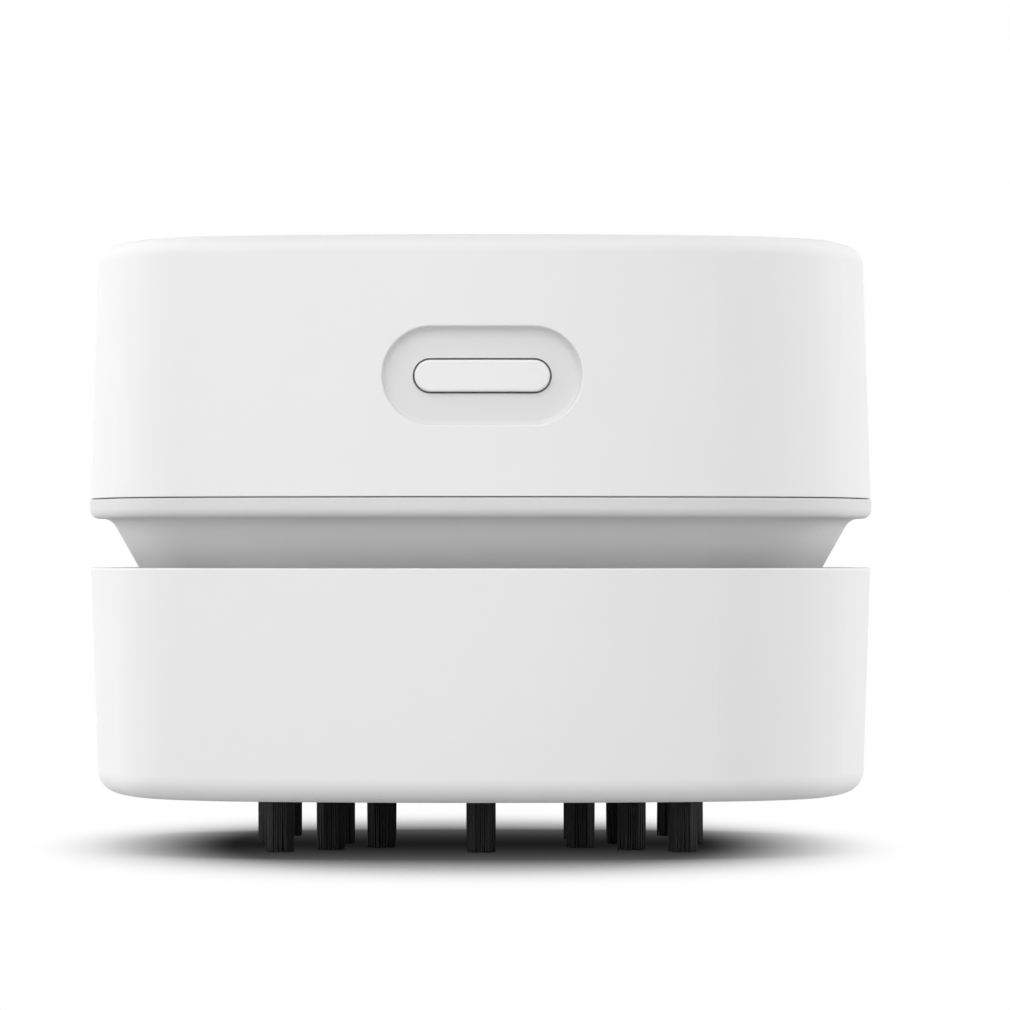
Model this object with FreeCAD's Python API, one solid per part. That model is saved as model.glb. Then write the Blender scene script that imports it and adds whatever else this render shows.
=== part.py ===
import FreeCAD, Part
import math
import os

# Desktop mini vacuum cleaner: a power unit that lifts out of a dust bin standing on brush tufts.
# Millimetres, +Z up, origin on the table under the middle, front (the power button) towards -Y.

# ---- Driving dimensions ------------------------------------------------------------------------
# Plan outline: a rounded square with bulging sides. An inset keeps the arcs' centres.
half_width = 40.0
side_radius = 80.0
corner_radius = 20.0
core_inset = 12.0

# Heights, from the table up
tuft_length = 5.5
brush_plate_thickness = 2.5
bin_floor_thickness = 1.6
chamber_height = 11.4
rim_height = 7.4
groove_height = 5.0
collar_height = 1.9
seam_gap = 0.1
shell_height = 25.6

# Mouldings
bin_rim_inset = 0.1
bin_draft = 1.9
bin_wall = 1.9
bin_ledge = 1.0
bin_bottom_round = 2.3
bin_floor_round = 1.0
edge_round = 0.2
brush_plate_inset = 7.0
plate_clearance = 0.1
inlet_radius = 10.0
riser_wall = 2.0
riser_height = 3.9
stake_radius = 1.2
stake_head_radius = 2.0
stake_head_height = 0.8
stake_reach = 27.0

flange_clearance = 0.3
flange_height = 3.5
deck_thickness = 2.0
fan_inlet_radius = 12.0
seal_height = 1.4
seal_depth = 1.0
seal_clearance = 0.1
seal_lip = 0.4
seal_lip_round = 0.1
neck_angle = 29.4
neck_rim_gap = 4.9
neck_foot = 1.0
housing_wall = 1.6
collar_round = 0.9
neck_round = 1.6
tongue_height = 2.0
tongue_wall = 1.3
tongue_clearance = 0.35
vent_count = 9
vent_width = 1.4
vent_pitch = 3.0
vent_edge = 0.7

shell_inset = 0.05
shell_draft = 1.93
shell_wall = 1.8
shell_top_thickness = 2.0
shell_top_round = 1.7
shell_inner_round = 0.8
shell_bottom_round = 0.12

# Power button, in a pill-shaped recess
button_height_above_seam = 11.75
recess_width = 19.5
recess_height = 9.65
recess_depth = 1.0
recess_round = 0.4
recess_lip_round = 0.15
button_width = 13.2
button_height = 3.1
button_gap = 0.18
button_proud = 0.55
button_round = 0.22
button_flange_rim = 0.9
button_flange_thickness = 1.0
button_travel = 0.8
button_stop_gap = 0.3
button_stem_radius = 1.5

# Brush
tuft_radius = 1.45
tuft_hole_depth = 1.7
tuft_clearance = 0.03
inner_tuft_circle = 14.3
outer_tuft_circle = 21.4
corner_tuft_circle = 28.5
tuft_arms = 8

# Filter
filter_radius = 24.0
filter_rim = 2.6
filter_height = 4.0
filter_socket_wall = 1.4
filter_socket_depth = 2.5
filter_fit = 0.08
pad_clearance = 0.3
pad_top_gap = 0.2
mesh_thickness = 0.3
filter_spoke_width = 1.6
filter_spoke_height = 0.9
filter_spokes = 3

# Fan and motor
impeller_radius = 21.0
impeller_floor_gap = 0.8
impeller_roof_gap = 1.0
impeller_disc = 1.2
blade_count = 9
blade_thickness = 0.9
blade_bow = 15.0
blade_sweep = 38.0
hub_radius = 4.0
hub_nose_radius = 2.8
shaft_radius = 1.0
shaft_fit = 0.02
bearing_fit = 0.03
bush_radius = 2.2
bush_length = 3.2
motor_radius = 12.2
motor_wall = 0.8
motor_boss_radius = 3.4
motor_boss_height = 1.4
motor_top_room = 1.5
end_cap_thickness = 2.5
magnet_thickness = 2.4
magnet_overhang = 2.0
magnet_angle = 126.0
air_gap = 0.5
rotor_end_play = 0.5
commutator_room = 1.8
core_hub_radius = 3.0
pole_count = 3
pole_arm_width = 3.0
pole_shoe_thickness = 1.4
pole_shoe_angle = 96.0
winding_thickness = 1.7
commutator_radius = 2.6
commutator_length = 2.6
brush_gap = 0.08
carbon_width = 1.5
carbon_height = 2.0
carbon_length = 2.6
terminal_width = 2.0
terminal_thickness = 0.5
terminal_reach = 0.8
terminal_place = 8.0

# Bracket and screws
bracket_thickness = 2.0
bracket_clearance = 0.2
screw_radius = 1.0
screw_clearance = 0.2
thread_fit = 0.02
screw_head_radius = 2.1
screw_head_height = 1.8
screw_seat = 4.0
screw_grip = 8.0
screw_tip_room = 1.0
drive_depth_ratio = 0.5
drive_arm_ratio = 0.16
drive_reach_ratio = 0.6
column_radius = 3.2
boss_radius = 3.0
motor_screw_radius = 0.8
motor_screw_head = 1.7
motor_screw_head_height = 0.9
motor_screw_length = 4.0
motor_screw_circle = 8.0

# Cell
battery_radius = 8.2
battery_length = 34.0
battery_end_room = 3.33
battery_motor_room = 3.6
battery_lift = 1.0
saddle_width = 3.0
saddle_place = 9.0
saddle_rise = 5.0
saddle_clearance = 0.15
battery_cap_radius = 3.0
battery_cap_height = 0.6
tab_width = 5.0
tab_length = 9.0
tab_thickness = 0.25

# Boards
board_thickness = 1.6
board_width = 22.0
board_front_room = 2.2
board_rear_room = 1.6
board_lift = 4.0
board_post_radius = 2.0
board_post_side = 2.4
board_screw_radius = 0.7
board_screw_head = 1.5
board_screw_head_height = 0.9
board_screw_length = 4.2
socket_width = 8.94
socket_height = 3.26
socket_length = 7.6
socket_skin = 0.3
socket_wall_gap = 0.25
socket_sink = 0.9
socket_tongue_width = 6.6
socket_tongue_height = 0.7
socket_tongue_sink = 1.2
chip_size = 5.0
chip_height = 1.5
capacitor_count = 3
capacitor_size = 1.6
capacitor_pitch = 3.2
led_size = 1.6
led_height = 0.9
led_place = 9.0
pipe_radius = 0.9
pipe_fit = 0.05
pipe_flange = 0.6
pipe_flange_length = 0.8
pipe_led_gap = 0.1
pipe_sink = 0.1

switch_size = 6.0
switch_depth = 3.5
switch_board_width = 18.0
switch_board_thickness = 1.2
switch_board_rise = 5.0
plunger_radius = 1.7
plunger_reach = 1.0
plunger_fit = 0.06
plunger_depth = 1.5
rail_width = 1.6
rail_lip = 1.4
rail_clearance = 0.1
rail_foot_gap = 2.0

# Leads
lead_radius = 0.4
lead_standoff = 1.7
lead_rest_gap = 0.05
lead_bend_share = 0.45
switch_lead_rise = 2.4
pad_pitch = 3.2
pad_row = 2.6

# ---- Levels and places that follow -----------------------------------------------------------
bin_bottom = tuft_length
recess_roof = bin_bottom + brush_plate_thickness
bin_floor = recess_roof + bin_floor_thickness
riser_top = bin_floor + riser_height
ledge_level = bin_floor + chamber_height
rim_level = ledge_level + rim_height
collar_bottom = rim_level + groove_height
collar_top = collar_bottom + collar_height
shell_bottom = collar_top + seam_gap
shell_top = shell_bottom + shell_height
shell_ceiling = shell_top - shell_top_thickness
bin_upper_inset = bin_rim_inset + bin_wall
bin_inner_inset = bin_upper_inset + bin_ledge
flange_inset = bin_upper_inset + flange_clearance
flange_top = ledge_level + flange_height
deck_top = ledge_level + deck_thickness
neck_slope = math.tan(math.radians(neck_angle))
neck_rim_inset = bin_rim_inset + neck_rim_gap
neck_foot_level = flange_top + neck_foot
neck_foot_inset = neck_rim_inset + (rim_level - neck_foot_level) * neck_slope
tongue_inset = shell_inset + shell_wall + tongue_clearance
tongue_inner_inset = tongue_inset + tongue_wall
bracket_top = collar_top - screw_clearance
bracket_bottom = bracket_top - bracket_thickness
button_level = shell_bottom + button_height_above_seam
screw_place = battery_length / 2 + battery_end_room + boss_radius
screw_spots = [(sx * screw_place, sy * screw_place) for sx in (-1, 1) for sy in (-1, 1)]
screw_seat_level = deck_top + screw_seat
motor_base = bracket_top
motor_top = shell_ceiling - motor_top_room
can_top = motor_top - end_cap_thickness
can_bore = motor_radius - motor_wall
magnet_bore = can_bore - magnet_thickness
armature_radius = magnet_bore - air_gap
lower_bush_top = motor_base - motor_boss_height + bush_length
core_bottom = lower_bush_top + rotor_end_play + winding_thickness
commutator_bottom = motor_top - bush_length - commutator_room - commutator_length
core_top = commutator_bottom - shaft_fit - winding_thickness
magnet_bottom = core_bottom - magnet_overhang
magnet_top = core_top + magnet_overhang
impeller_bottom = deck_top + impeller_floor_gap
impeller_top = bracket_bottom - impeller_roof_gap
impeller_roof = impeller_top - impeller_disc
battery_x = -(motor_radius + battery_motor_room + battery_radius)
battery_z = bracket_top + battery_lift + battery_radius
board_bottom = bracket_top + board_lift
board_top = board_bottom + board_thickness
filter_bottom = ledge_level - filter_height
corner_place = ((half_width - side_radius) + math.sqrt(
    2 * (side_radius - corner_radius) ** 2 - (half_width - side_radius) ** 2)) / 2
side_sweep = math.degrees(math.atan2(corner_place, corner_place - half_width + side_radius))
up = FreeCAD.Vector(0, 0, 1)
rear = FreeCAD.Vector(0, 1, 0)
tiny = 1e-6


# ---- Shape helpers ---------------------------------------------------------------------------
def point(x, y, z=0.0):
    return FreeCAD.Vector(x, y, z)


def plan_arcs():
    """Centre, radius, start and end angle of the plan outline's eight arcs, sides then corners."""
    arcs = []
    for quarter in range(4):
        heading = 90 * quarter
        turn = math.radians(heading)
        side_reach = half_width - side_radius
        side_centre = point(side_reach * math.cos(turn), side_reach * math.sin(turn))
        turn += math.radians(45)
        corner_reach = corner_place * math.sqrt(2)
        corner_centre = point(corner_reach * math.cos(turn), corner_reach * math.sin(turn))
        arcs.append((side_centre, side_radius, heading - side_sweep, heading + side_sweep))
        arcs.append((corner_centre, corner_radius, heading + side_sweep, heading + 90 - side_sweep))
    return arcs


def plan_plate(inset, low, high):
    """A flat plate with the plan outline, drawn in by the inset, between two levels."""
    edges = []
    for centre, radius, start, end in plan_arcs():
        edges.append(Part.makeCircle(radius - inset, centre + up * low, up, start, end))
    return Part.Face(Part.Wire(edges)).extrude(up * (high - low))


def rounded_profile(corners):
    """Closed wire through (across, z) or (across, z, round) corners, with tangent arcs, in XZ."""
    pieces = []
    for index, corner in enumerate(corners):
        here = point(corner[0], 0, corner[1])
        radius = corner[2] if len(corner) > 2 else 0.0
        before = corners[index - 1]
        after = corners[(index + 1) % len(corners)]
        back = (point(before[0], 0, before[1]) - here).normalize()
        ahead = (point(after[0], 0, after[1]) - here).normalize()
        if radius <= 0:
            pieces.append((here, here, here))
            continue
        half = back.getAngle(ahead) / 2
        reach = radius / math.tan(half)
        middle = here + (back + ahead).normalize() * (radius / math.sin(half) - radius)
        pieces.append((here + back * reach, middle, here + ahead * reach))
    edges = []
    for index, (start, middle, end) in enumerate(pieces):
        if (end - start).Length > tiny:
            edges.append(Part.Arc(start, middle, end).toShape())
        following = pieces[(index + 1) % len(pieces)][0]
        if (following - end).Length > tiny:
            edges.append(Part.makeLine(end, following))
    return Part.Wire(edges)


def plan_ring(corners):
    """A profile of (inset, z) corners carried all the way round the plan outline."""
    sectors = []
    for centre, radius, start, end in plan_arcs():
        section = [(radius - corner[0],) + tuple(corner[1:]) for corner in corners]
        face = Part.Face(rounded_profile(section))
        face.rotate(point(0, 0), up, start)
        face.translate(centre)
        sectors.append(face.revolve(centre, up, end - start))
    return joined(sectors)


def plan_body(corners):
    """A ring whose first and last corners lie on the core inset, filled across the middle."""
    low, high = sorted((corners[0][1], corners[-1][1]))
    return joined([plan_ring(corners), plan_plate(core_inset, low, high)])


def joined(shapes):
    whole = shapes[0].multiFuse(shapes[1:]).removeSplitter()
    return whole.Solids[0] if len(whole.Solids) == 1 else whole


def cut(shape, tools):
    rest = shape.cut(Part.makeCompound(tools)).removeSplitter()
    return rest.Solids[0] if len(rest.Solids) == 1 else rest


def post(x, y, radius, low, high):
    return Part.makeCylinder(radius, high - low, point(x, y, low), up)


def tube(radius, bore, low, high):
    return post(0, 0, radius, low, high).cut(post(0, 0, bore, low, high))


def block(x_low, x_high, y_low, y_high, z_low, z_high):
    return Part.makeBox(x_high - x_low, y_high - y_low, z_high - z_low, point(x_low, y_low, z_low))


def pill(width, height, y_low, y_high, level, x=0.0):
    """A bar along Y whose section is a slot lying along X."""
    radius = height / 2
    reach = width / 2 - radius
    corners = [point(x - reach, y_low, level + radius), point(x + reach, y_low, level + radius),
               point(x + reach, y_low, level - radius), point(x - reach, y_low, level - radius)]
    right = Part.Arc(corners[1], point(x + reach + radius, y_low, level), corners[2]).toShape()
    left = Part.Arc(corners[3], point(x - reach - radius, y_low, level), corners[0]).toShape()
    edges = [Part.makeLine(corners[0], corners[1]), right, Part.makeLine(corners[2], corners[3]), left]
    return Part.Face(Part.Wire(edges)).extrude(rear * (y_high - y_low))


def along_y(x, z, radius, y_low, y_high):
    return Part.makeCylinder(radius, y_high - y_low, point(x, y_low, z), rear)


def lead_tube(route, radius):
    """A lead: straight runs joined by tangent arcs as large as the runs allow."""
    edges = []
    start = route[0]
    for before, here, after in zip(route, route[1:], route[2:]):
        back = (before - here).normalize()
        ahead = (after - here).normalize()
        half = back.getAngle(ahead) / 2
        reach = lead_bend_share * min((before - here).Length, (after - here).Length)
        bend = reach * math.tan(half)
        middle = here + (back + ahead).normalize() * (bend / math.sin(half) - bend)
        edges.append(Part.makeLine(start, here + back * reach))
        start = here + ahead * reach
        edges.append(Part.Arc(here + back * reach, middle, start).toShape())
    edges.append(Part.makeLine(start, route[-1]))
    path = Part.Wire(edges)
    heading = route[1] - route[0]
    section = Part.Wire([Part.makeCircle(radius, route[0], heading)])
    return path.makePipeShell([section], True, False)


def shell_blank(extra, low, high):
    """The drafted outer form of the shell, drawn in by extra, between two levels."""
    slope = math.tan(math.radians(shell_draft))
    foot = shell_inset + (low - shell_bottom) * slope + extra
    head = shell_inset + (high - shell_bottom) * slope + extra
    return plan_body([(core_inset, low), (foot, low), (head, high), (core_inset, high)])


def shell_surface(level):
    """How far the shell's face stands from the middle at a level, on the X or Y axis."""
    return half_width - shell_inset - (level - shell_bottom) * math.tan(math.radians(shell_draft))


# ---- Dust bin and brush ----------------------------------------------------------------------
def stake_spots():
    """Where the brush plate's pegs pass through the bin's floor, on the four straight arms."""
    return [(stake_reach, 0), (0, stake_reach), (-stake_reach, 0), (0, -stake_reach)]


def make_dust_bin():
    foot_inset = bin_rim_inset + (rim_level - bin_bottom) * math.tan(math.radians(bin_draft))
    plate_edge = brush_plate_inset - plate_clearance
    body = plan_body([
        (core_inset, recess_roof), (plate_edge, recess_roof), (plate_edge, bin_bottom),
        (foot_inset, bin_bottom, bin_bottom_round), (bin_rim_inset, rim_level, edge_round),
        (bin_upper_inset, rim_level, edge_round), (bin_upper_inset, ledge_level),
        (bin_inner_inset, ledge_level, edge_round), (bin_inner_inset, bin_floor, bin_floor_round),
        (core_inset, bin_floor)])
    riser = post(0, 0, inlet_radius + riser_wall, recess_roof, riser_top)
    mouth = post(0, 0, inlet_radius, bin_bottom, riser_top)
    holes = [post(x, y, stake_radius + plate_clearance, recess_roof, bin_floor)
             for x, y in stake_spots()]
    return cut(joined([body, riser]), [mouth] + holes)


def tuft_spots():
    """Tufts on the eight arms of a star, with a third one on each of the four diagonal arms."""
    spots = []
    for arm in range(tuft_arms):
        circles = [inner_tuft_circle, outer_tuft_circle]
        if arm % 2:
            circles.append(corner_tuft_circle)
        turn = 2 * math.pi / tuft_arms * arm
        spots += [(reach * math.cos(turn), reach * math.sin(turn)) for reach in circles]
    return spots


def make_brush_plate():
    plate = plan_plate(brush_plate_inset, bin_bottom, recess_roof)
    stakes = []
    for x, y in stake_spots():
        stakes.append(post(x, y, stake_radius, recess_roof, bin_floor))
        head = Part.makeCone(stake_head_radius, stake_radius, stake_head_height,
                             point(x, y, bin_floor), up)
        stakes.append(head)
    mouth = post(0, 0, inlet_radius, bin_bottom, recess_roof)
    holes = [post(x, y, tuft_radius + tuft_clearance, bin_bottom, bin_bottom + tuft_hole_depth)
             for x, y in tuft_spots()]
    return cut(joined([plate] + stakes), [mouth] + holes)


def make_brush_tufts():
    return Part.makeCompound([post(x, y, tuft_radius, 0, bin_bottom + tuft_hole_depth)
                              for x, y in tuft_spots()])


# ---- Neck housing, seal and bracket ----------------------------------------------------------
def make_neck_housing():
    neck_top_inset = neck_foot_inset - (collar_bottom - neck_foot_level) * neck_slope
    inner_foot = neck_foot_inset + housing_wall
    seat = tongue_inner_inset + housing_wall
    seat_level = neck_foot_level + (inner_foot - seat) / neck_slope
    seat_level = min(seat_level, bracket_bottom - housing_wall / 2)
    seal_low = ledge_level + (flange_height - seal_height) / 2
    seal_inset = flange_inset + seal_depth
    body = plan_body([
        (core_inset, ledge_level), (flange_inset, ledge_level, edge_round), (flange_inset, seal_low),
        (seal_inset, seal_low), (seal_inset, seal_low + seal_height),
        (flange_inset, seal_low + seal_height), (flange_inset, flange_top, edge_round),
        (neck_foot_inset, flange_top), (neck_foot_inset, neck_foot_level),
        (neck_top_inset, collar_bottom, neck_round), (0.0, collar_bottom, collar_round),
        (0.0, collar_top, shell_bottom_round), (tongue_inset, collar_top),
        (tongue_inset, collar_top + tongue_height), (tongue_inner_inset, collar_top + tongue_height),
        (tongue_inner_inset, bracket_bottom), (seat, bracket_bottom), (seat, seat_level),
        (inner_foot, neck_foot_level), (inner_foot, deck_top), (core_inset, deck_top)])
    columns = [post(x, y, column_radius, ledge_level, bracket_bottom) for x, y in screw_spots]
    socket = tube(filter_radius + filter_fit + filter_socket_wall, filter_radius + filter_fit,
                  ledge_level - filter_socket_depth, ledge_level)
    tools = [post(0, 0, fan_inlet_radius, ledge_level, deck_top)]
    for x, y in screw_spots:
        tools.append(post(x, y, screw_head_radius + screw_clearance, ledge_level, screw_seat_level))
        tools.append(post(x, y, screw_radius + screw_clearance, screw_seat_level, bracket_bottom))
    vent_low = rim_level + vent_edge
    vent_high = collar_bottom - neck_round
    for slot in range(vent_count):
        x = (slot - (vent_count - 1) / 2) * vent_pitch
        tools.append(block(x - vent_width / 2, x + vent_width / 2, half_width - seat - neck_foot_inset,
                           half_width, vent_low, vent_high))
    return cut(joined([body, socket] + columns), tools)


def make_housing_seal():
    seal_low = ledge_level + (flange_height - seal_height) / 2
    outer = bin_upper_inset + seal_clearance
    middle = seal_low + seal_height / 2
    inner = flange_inset + seal_depth
    return plan_ring([(inner, seal_low), (flange_inset, seal_low),
                      (outer, middle - seal_lip / 2, seal_lip_round),
                      (outer, middle + seal_lip / 2, seal_lip_round),
                      (flange_inset, seal_low + seal_height), (inner, seal_low + seal_height)])


def make_inner_bracket():
    plate = plan_plate(tongue_inner_inset + bracket_clearance, bracket_bottom, bracket_top)
    parts = [plate]
    for y in (-saddle_place, saddle_place):
        saddle = block(battery_x - battery_radius, battery_x + battery_radius, y - saddle_width / 2,
                       y + saddle_width / 2, bracket_top, bracket_top + battery_lift + saddle_rise)
        parts.append(saddle)
    for x, y in board_post_spots():
        parts.append(post(x, y, board_post_radius, bracket_top, board_bottom))
    tools = [post(0, 0, motor_boss_radius + bracket_clearance, bracket_bottom, bracket_top)]
    tools.append(along_y(battery_x, battery_z, battery_radius + saddle_clearance,
                         -battery_length / 2, battery_length / 2))
    for x, y in screw_spots:
        tools.append(post(x, y, screw_radius + screw_clearance, bracket_bottom, bracket_top))
    for x, y in board_post_spots():
        hole_floor = board_top - board_screw_length - screw_clearance
        tools.append(post(x, y, board_screw_radius + thread_fit, hole_floor, board_bottom))
    for x in (-motor_screw_circle, motor_screw_circle):
        tools.append(post(x, 0, motor_screw_radius + screw_clearance, bracket_bottom, bracket_top))
        tools.append(Part.makeCone(motor_screw_head + thread_fit, motor_screw_radius + thread_fit,
                                   motor_screw_head_height, point(x, 0, bracket_bottom), up))
    return cut(joined(parts), tools)


def cross_drive(x, y, face, size, direction):
    """The cross-shaped driver recess in a screw head, cut inwards from its face."""
    depth = size * drive_depth_ratio * direction
    low, high = sorted((face, face + depth))
    arm = size * drive_arm_ratio
    reach = size * drive_reach_ratio
    return [block(x - reach, x + reach, y - arm, y + arm, low, high),
            block(x - arm, x + arm, y - reach, y + reach, low, high)]


def make_housing_screws():
    screws = []
    head_face = screw_seat_level - screw_head_height
    for x, y in screw_spots:
        head = post(x, y, screw_head_radius, head_face, screw_seat_level)
        shank = post(x, y, screw_radius, screw_seat_level, bracket_top + screw_grip)
        screws.append(cut(joined([head, shank]), cross_drive(x, y, head_face, screw_head_radius, 1)))
    return Part.makeCompound(screws)


# ---- Upper shell and power button ------------------------------------------------------------
def recess_tool():
    """The dished recess round the button: a pill whose floor follows the shell's curved front."""
    low = button_level - recess_height
    high = button_level + recess_height
    bar = pill(recess_width, recess_height, -half_width - recess_depth, -half_width / 2, button_level)
    bar = bar.cut(shell_blank(recess_depth, low, high))
    floor_edges = [edge for edge in bar.Edges if edge.BoundBox.YMin > -shell_surface(low)]
    return bar.makeFillet(recess_round, floor_edges)


def recess_rim(shell):
    """The edges round the mouth of the recess, where it meets the shell's outer face."""
    below_face = shell_blank(recess_lip_round / 2, shell_bottom, shell_top)
    rim = []
    for edge in shell.Edges:
        middle = edge.valueAt((edge.FirstParameter + edge.LastParameter) / 2)
        in_width = abs(middle.x) < recess_width / 2 + tiny
        in_height = abs(middle.z - button_level) < recess_height / 2 + tiny
        if middle.y < 0 and in_width and in_height and not below_face.isInside(middle, tiny, True):
            rim.append(edge)
    return rim


def make_upper_shell():
    slope = math.tan(math.radians(shell_draft))
    head = shell_inset + shell_height * slope
    inner_head = head + shell_wall - shell_top_thickness * slope
    body = plan_body([
        (core_inset, shell_ceiling), (inner_head, shell_ceiling, shell_inner_round),
        (shell_inset + shell_wall, shell_bottom), (shell_inset, shell_bottom, shell_bottom_round),
        (head, shell_top, shell_top_round), (core_inset, shell_top)])
    body = cut(body, [recess_tool()])
    body = body.makeFillet(recess_lip_round, recess_rim(body))
    parts = [body]
    for x, y in screw_spots:
        parts.append(post(x, y, boss_radius, bracket_top, shell_ceiling))
    for side in (-1, 1):
        parts.append(switch_rail(side))
    tools = [button_opening()]
    for x, y in screw_spots:
        bore_top = bracket_top + screw_grip + screw_tip_room
        tools.append(post(x, y, screw_radius + thread_fit, bracket_top, bore_top))
    socket_level = board_top + socket_height / 2
    tools.append(pill(socket_width + 2 * socket_wall_gap, socket_height + 2 * socket_wall_gap,
                      half_width - 2 * shell_wall - shell_inset, half_width, socket_level))
    tools.append(along_y(led_place, pipe_level(), pipe_radius + pipe_fit, board_rear_edge(),
                         half_width))
    return cut(joined(parts), tools)


def button_opening():
    return pill(button_width + 2 * button_gap, button_height + 2 * button_gap, -half_width,
                button_back() - button_flange_thickness, button_level)


def wall_inside():
    """Where the shell's wall ends inside, behind the button."""
    return -shell_surface(button_level) + shell_wall


def button_back():
    """The rear face of the button's flange."""
    return wall_inside() + button_stop_gap + button_flange_thickness


def plunger_face():
    return button_back() + button_travel + plunger_reach / 2


def switch_front():
    return plunger_face() + plunger_reach


def board_front():
    return switch_front() + switch_depth


def switch_board_top():
    return button_level + switch_size / 2 + switch_board_rise


def switch_rail(side):
    """A grooved rib hanging from the shell's ceiling that the switch board slides into."""
    board_side = switch_board_width / 2
    inner = side * (board_side - rail_lip)
    outer = side * (board_side + rail_width)
    low_x, high_x = sorted((inner, outer))
    board_rear = board_front() + switch_board_thickness
    rail = block(low_x, high_x, -half_width, board_rear + rail_width, bracket_top + rail_foot_gap,
                 shell_ceiling)
    slot_x = sorted((inner, side * (board_side + rail_clearance)))
    slot = block(slot_x[0], slot_x[1], board_front() - rail_clearance, board_rear + rail_clearance,
                 bracket_top, switch_board_top() + rail_clearance)
    front_room = block(low_x, high_x, -half_width, board_front() - rail_width, bracket_top,
                       button_level + recess_height / 2 + rail_width)
    inside = shell_blank(shell_wall / 2, bracket_top, shell_ceiling)
    return rail.cut(slot).cut(front_room).common(inside)


def make_power_button():
    low = button_level - recess_height
    high = button_level + recess_height
    cap = pill(button_width, button_height, -half_width, button_back() - button_flange_thickness,
               button_level)
    cap = cap.common(shell_blank(recess_depth - button_proud, low, high))
    rim_edges = [edge for edge in cap.Edges if edge.BoundBox.YMax < wall_inside() - shell_wall / 2]
    cap = cap.makeFillet(button_round, rim_edges)
    flange = pill(button_width + 2 * button_flange_rim, button_height + 2 * button_flange_rim,
                  -half_width, button_back(), button_level)
    flange = flange.common(shell_blank(shell_wall + button_stop_gap, low, high))
    stem = along_y(0, button_level, button_stem_radius, button_back(), plunger_face())
    return joined([cap, flange, stem])


def make_switch_plunger():
    return along_y(0, button_level, plunger_radius, plunger_face(), switch_front() + plunger_depth)


def make_power_switch():
    half = switch_size / 2
    body = block(-half, half, switch_front(), board_front(), button_level - half, button_level + half)
    hole = along_y(0, button_level, plunger_radius + plunger_fit, switch_front(),
                   switch_front() + plunger_depth + button_travel + rail_clearance)
    return cut(body, [hole])


def make_switch_board():
    half = switch_board_width / 2
    return block(-half, half, board_front(), board_front() + switch_board_thickness, bracket_top,
                 switch_board_top())


# ---- Control board and charging --------------------------------------------------------------
def board_front_edge():
    return motor_radius + board_front_room


def board_rear_edge():
    return shell_surface(board_top) - shell_wall - board_rear_room


def board_post_spots():
    x = board_width / 2 - board_post_side
    return [(-x, board_front_edge() + board_post_side), (x, board_front_edge() + board_post_side)]


def make_control_board():
    half = board_width / 2
    board = block(-half, half, board_front_edge(), board_rear_edge(), board_bottom, board_top)
    holes = [post(x, y, board_screw_radius + screw_clearance, board_bottom, board_top)
             for x, y in board_post_spots()]
    return cut(board, holes)


def make_board_screws():
    screws = []
    for x, y in board_post_spots():
        head = post(x, y, board_screw_head, board_top, board_top + board_screw_head_height)
        shank = post(x, y, board_screw_radius, board_top - board_screw_length, board_top)
        face = board_top + board_screw_head_height
        screws.append(cut(joined([head, shank]), cross_drive(x, y, face, board_screw_head, -1)))
    return Part.makeCompound(screws)


def socket_mouth():
    return shell_surface(board_top) - socket_sink


def make_charge_socket():
    level = board_top + socket_height / 2
    back = socket_mouth() - socket_length
    body = pill(socket_width, socket_height, back, socket_mouth(), level)
    hollow = pill(socket_width - 2 * socket_skin, socket_height - 2 * socket_skin,
                  back + 2 * socket_skin, socket_mouth(), level)
    tongue = block(-socket_tongue_width / 2, socket_tongue_width / 2, back + socket_skin,
                   socket_mouth() - socket_tongue_sink, level - socket_tongue_height / 2,
                   level + socket_tongue_height / 2)
    return joined([cut(body, [hollow]), tongue])


def make_charging_chip():
    y = board_front_edge() + board_width / 2 - chip_size / 2
    return block(-chip_size / 2, chip_size / 2, y - chip_size, y, board_top, board_top + chip_height)


def make_board_capacitors():
    caps = []
    y = board_front_edge() + board_post_side
    for index in range(capacitor_count):
        x = (index - (capacitor_count - 1) / 2) * capacitor_pitch
        half = capacitor_size / 2
        caps.append(block(x - half / 2, x + half / 2, y - half, y + half, board_top,
                          board_top + capacitor_size / 2))
    return Part.makeCompound(caps)


def pipe_level():
    return board_top + led_height / 2 + pipe_radius / 2


def pipe_start():
    """The front of the light pipe's flange, which seats inside the shell's curved rear wall."""
    inside = shell_surface(pipe_level()) - shell_wall
    flange_reach = led_place + pipe_radius + pipe_flange
    sag = side_radius - math.sqrt(side_radius ** 2 - flange_reach ** 2)
    return inside - sag - pipe_fit - pipe_flange_length


def make_charge_led():
    half = led_size / 2
    rear_face = pipe_start() - pipe_led_gap
    return block(led_place - half, led_place + half, rear_face - led_size, rear_face, board_top,
                 board_top + led_height)


def make_light_pipe():
    level = pipe_level()
    rod = along_y(led_place, level, pipe_radius, pipe_start(), half_width)
    rod = rod.common(shell_blank(pipe_sink, level - 2 * pipe_radius, level + 2 * pipe_radius))
    flange = along_y(led_place, level, pipe_radius + pipe_flange, pipe_start(),
                     pipe_start() + pipe_flange_length)
    return joined([rod, flange])


# ---- Cell --------------------------------------------------------------------------------------
def make_battery():
    half = battery_length / 2
    can = along_y(battery_x, battery_z, battery_radius, -half, half - battery_cap_height)
    cap = along_y(battery_x, battery_z, battery_cap_radius, half - battery_cap_height, half)
    return joined([can, cap])


def make_battery_tabs():
    half = battery_length / 2
    tabs = []
    for side in (-1, 1):
        low, high = sorted((side * half, side * (half + tab_thickness)))
        tabs.append(block(battery_x - tab_width / 2, battery_x + tab_width / 2, low, high,
                          battery_z - tab_length / 2, battery_z + tab_length / 2))
    return Part.makeCompound(tabs)


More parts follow.
